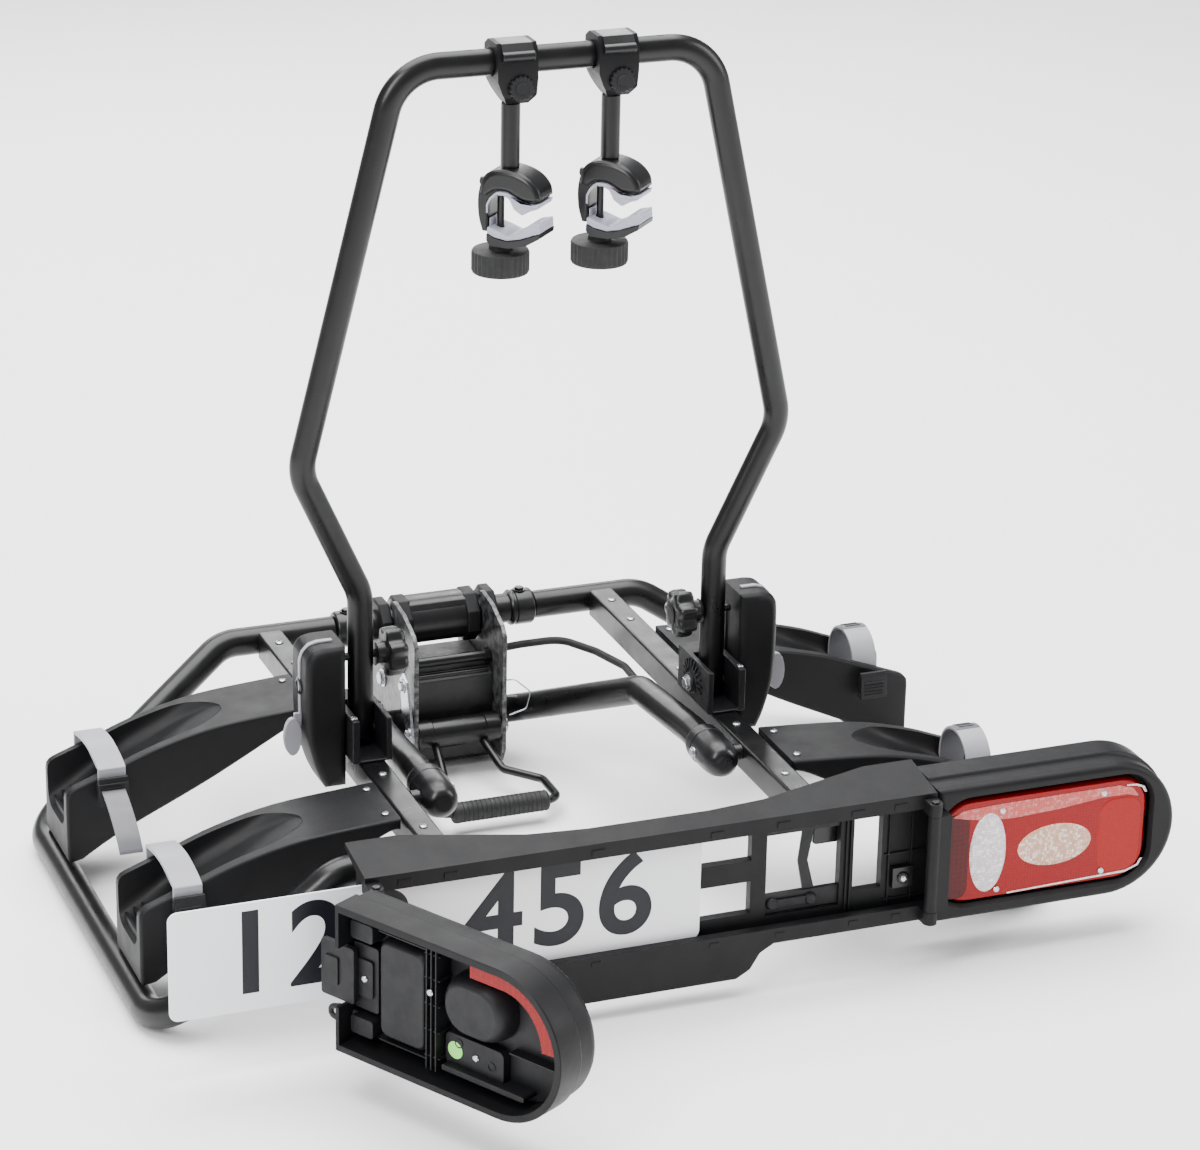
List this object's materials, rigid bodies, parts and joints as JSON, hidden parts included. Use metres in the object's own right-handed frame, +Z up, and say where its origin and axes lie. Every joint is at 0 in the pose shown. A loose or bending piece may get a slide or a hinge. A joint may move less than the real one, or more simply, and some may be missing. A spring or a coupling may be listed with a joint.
{
  "type": "tow ball bike rack",
  "caption": "Bike rack clamped on a car's tow ball: tilting tube platform with wheel gutters, folding hoop with frame clamps, and a rear board with number plate and folding lamps.",
  "frame": {"origin": "centre of the flat seat at the top of the tow-ball socket", "axes": "+Z up, +Y towards the car, +X to the right as seen from behind the car"},
  "size_m": [1.0269, 0.9827, 0.8756],
  "materials": {
    "coated_steel": "satin black powder coat",
    "black_plastic": "fine moulded grain",
    "dark_plastic": "fine moulded grain",
    "grey_plastic": "smooth light grey",
    "liner_grey": "soft light grey",
    "rubber": "matte black",
    "cast_iron": "black painted casting",
    "zinc_steel": "zinc plated",
    "plate_white": "satin white sheet",
    "lens_red": "clear moulded red"
  },
  "bodies": {
    "coupling": {"ball_housing": "cast_iron", "coupling_cheek_right": "coated_steel", "coupling_cheek_left": "coated_steel", "latch_bar": "coated_steel", "tilt_arm_right": "coated_steel", "tilt_arm_left": "coated_steel", "tilt_cap_right": "black_plastic", "tilt_cap_left": "black_plastic"},
    "ball_jaw": {"ball_jaw": "zinc_steel"},
    "lever": {"lever_loop": "coated_steel", "lever_grip": "rubber"},
    "platform": {"cross_beam": "black_plastic", "side_loop_right": "coated_steel", "side_loop_left": "coated_steel", "platform_bar_right": "coated_steel", "platform_bar_left": "coated_steel", "lamp_cable": "rubber", "rear_gutter_right": "black_plastic", "rear_gutter_left": "black_plastic", "front_gutter_right": "black_plastic", "front_gutter_left": "black_plastic", "rear_strap_right": "grey_plastic", "rear_strap_left": "grey_plastic", "front_strap_right": "grey_plastic", "front_strap_left": "grey_plastic", "hinge_fork_right": "dark_plastic", "hinge_fork_left": "dark_plastic", "shield_right": "black_plastic", "shield_left": "black_plastic", "pull_strap_right": "grey_plastic", "pull_strap_left": "grey_plastic", "plate_board": "black_plastic"},
    "hoop": {"hoop": "coated_steel"},
    "plate": {"number_plate": "plate_white"},
    "rear_buckle_right": {"rear_buckle_right": "grey_plastic"},
    "rear_buckle_left": {"rear_buckle_left": "grey_plastic"},
    "front_buckle_right": {"front_buckle_right": "grey_plastic"},
    "front_buckle_left": {"front_buckle_left": "grey_plastic"},
    "star_knob_right": {"star_knob_right": "black_plastic"},
    "star_knob_left": {"star_knob_left": "black_plastic"},
    "clamp_collar_right": {"clamp_collar_right": "black_plastic"},
    "clamp_right": {"clamp_rod_right": "coated_steel", "clamp_upper_jaw_right": "black_plastic", "clamp_upper_liner_right": "liner_grey"},
    "clamp_lower_right": {"clamp_lower_jaw_right": "black_plastic", "clamp_lower_liner_right": "liner_grey"},
    "clamp_knob_right": {"clamp_knob_right": "rubber"},
    "lamp_right": {"lamp_pod_right": "black_plastic", "lamp_lens_right": "lens_red", "lamp_back_right": "dark_plastic"},
    "clamp_collar_left": {"clamp_collar_left": "black_plastic"},
    "clamp_left": {"clamp_rod_left": "coated_steel", "clamp_upper_jaw_left": "black_plastic", "clamp_upper_liner_left": "liner_grey"},
    "clamp_lower_left": {"clamp_lower_jaw_left": "black_plastic", "clamp_lower_liner_left": "liner_grey"},
    "clamp_knob_left": {"clamp_knob_left": "rubber"},
    "lamp_left": {"lamp_pod_left": "black_plastic", "lamp_lens_left": "lens_red", "lamp_back_left": "dark_plastic"}
  },
  "joints": [
    {"name": "tilt", "type": "hinge", "parent": "coupling", "child": "platform", "pos_m": [0, -0.429, 0.103], "axis": [1, 0, 0], "range_deg": [0, 35]},
    {"name": "lever_swing", "type": "hinge", "parent": "coupling", "child": "lever", "pos_m": [0, -0.069, -0.003], "axis": [1, 0, 0], "range_deg": [-90, 0]},
    {"name": "ball_jaw_slide", "type": "slide", "parent": "coupling", "child": "ball_jaw", "axis": [0, 1, 0], "range_m": [-0.0025, 0]},
    {"name": "hoop_fold", "type": "hinge", "parent": "platform", "child": "hoop", "pos_m": [0, -0.315, 0.132], "axis": [1, 0, 0], "range_deg": [0, 80]},
    {"name": "star_knob_turn_right", "type": "hinge", "parent": "hoop", "child": "star_knob_right", "pos_m": [0.154, -0.315, 0.21], "axis": [1, 0, 0], "continuous": true},
    {"name": "star_knob_turn_left", "type": "hinge", "parent": "hoop", "child": "star_knob_left", "pos_m": [-0.154, -0.315, 0.21], "axis": [1, 0, 0], "continuous": true},
    {"name": "clamp_swing_right", "type": "hinge", "parent": "hoop", "child": "clamp_collar_right", "pos_m": [0.057, -0.336, 0.8027], "axis": [1, 0, 0], "range_deg": [-80, 80]},
    {"name": "clamp_swivel_right", "type": "hinge", "parent": "clamp_collar_right", "child": "clamp_right", "pos_m": [0.057, -0.336, 0.7327], "axis": [0, 0, 1], "range_deg": [-135, 135]},
    {"name": "jaw_close_right", "type": "slide", "parent": "clamp_right", "child": "clamp_lower_right", "axis": [0, 0, 1], "range_m": [0, 0.01255]},
    {"name": "clamp_knob_turn_right", "type": "hinge", "parent": "clamp_lower_right", "child": "clamp_knob_right", "pos_m": [0.05057, -0.32957, 0.6077], "axis": [0, 0, 1], "range_deg": [0, 750]},
    {"name": "clamp_swing_left", "type": "hinge", "parent": "hoop", "child": "clamp_collar_left", "pos_m": [-0.044, -0.336, 0.8027], "axis": [1, 0, 0], "range_deg": [-80, 80]},
    {"name": "clamp_swivel_left", "type": "hinge", "parent": "clamp_collar_left", "child": "clamp_left", "pos_m": [-0.044, -0.336, 0.7327], "axis": [0, 0, 1], "range_deg": [-135, 135]},
    {"name": "jaw_close_left", "type": "slide", "parent": "clamp_left", "child": "clamp_lower_left", "axis": [0, 0, 1], "range_m": [0, 0.01255]},
    {"name": "clamp_knob_turn_left", "type": "hinge", "parent": "clamp_lower_left", "child": "clamp_knob_left", "pos_m": [-0.05043, -0.32957, 0.6077], "axis": [0, 0, 1], "range_deg": [0, 750]},
    {"name": "lamp_fold_right", "type": "hinge", "parent": "platform", "child": "lamp_right", "pos_m": [0.281, -0.652, 0.065], "axis": [0, 0, 1], "range_deg": [-178, 0]},
    {"name": "lamp_fold_left", "type": "hinge", "parent": "platform", "child": "lamp_left", "pos_m": [-0.281, -0.652, 0.065], "axis": [0, 0, 1], "range_deg": [-34, 58]},
    {"name": "plate_slide", "type": "slide", "parent": "platform", "child": "plate", "axis": [1, 0, 0], "range_m": [0, 0.195]},
    {"name": "rear_buckle_lift_right", "type": "hinge", "parent": "platform", "child": "rear_buckle_right", "pos_m": [0.415, -0.5008, 0.046], "axis": [1, 0, 0], "range_deg": [0, 60]},
    {"name": "rear_buckle_lift_left", "type": "hinge", "parent": "platform", "child": "rear_buckle_left", "pos_m": [-0.415, -0.5008, 0.046], "axis": [1, 0, 0], "range_deg": [0, 60]},
    {"name": "front_buckle_lift_right", "type": "hinge", "parent": "platform", "child": "front_buckle_right", "pos_m": [0.415, -0.2228, 0.046], "axis": [1, 0, 0], "range_deg": [0, 60]},
    {"name": "front_buckle_lift_left", "type": "hinge", "parent": "platform", "child": "front_buckle_left", "pos_m": [-0.415, -0.2228, 0.046], "axis": [1, 0, 0], "range_deg": [0, 60]}
  ],
  "couplings": [
    {"joint": "ball_jaw_slide", "follows": "lever_swing", "m_per_rad": 0.00159},
    {"joint": "jaw_close_right", "follows": "clamp_knob_turn_right", "m_per_rad": 0.000955},
    {"joint": "jaw_close_left", "follows": "clamp_knob_turn_left", "m_per_rad": 0.000955}
  ]
}
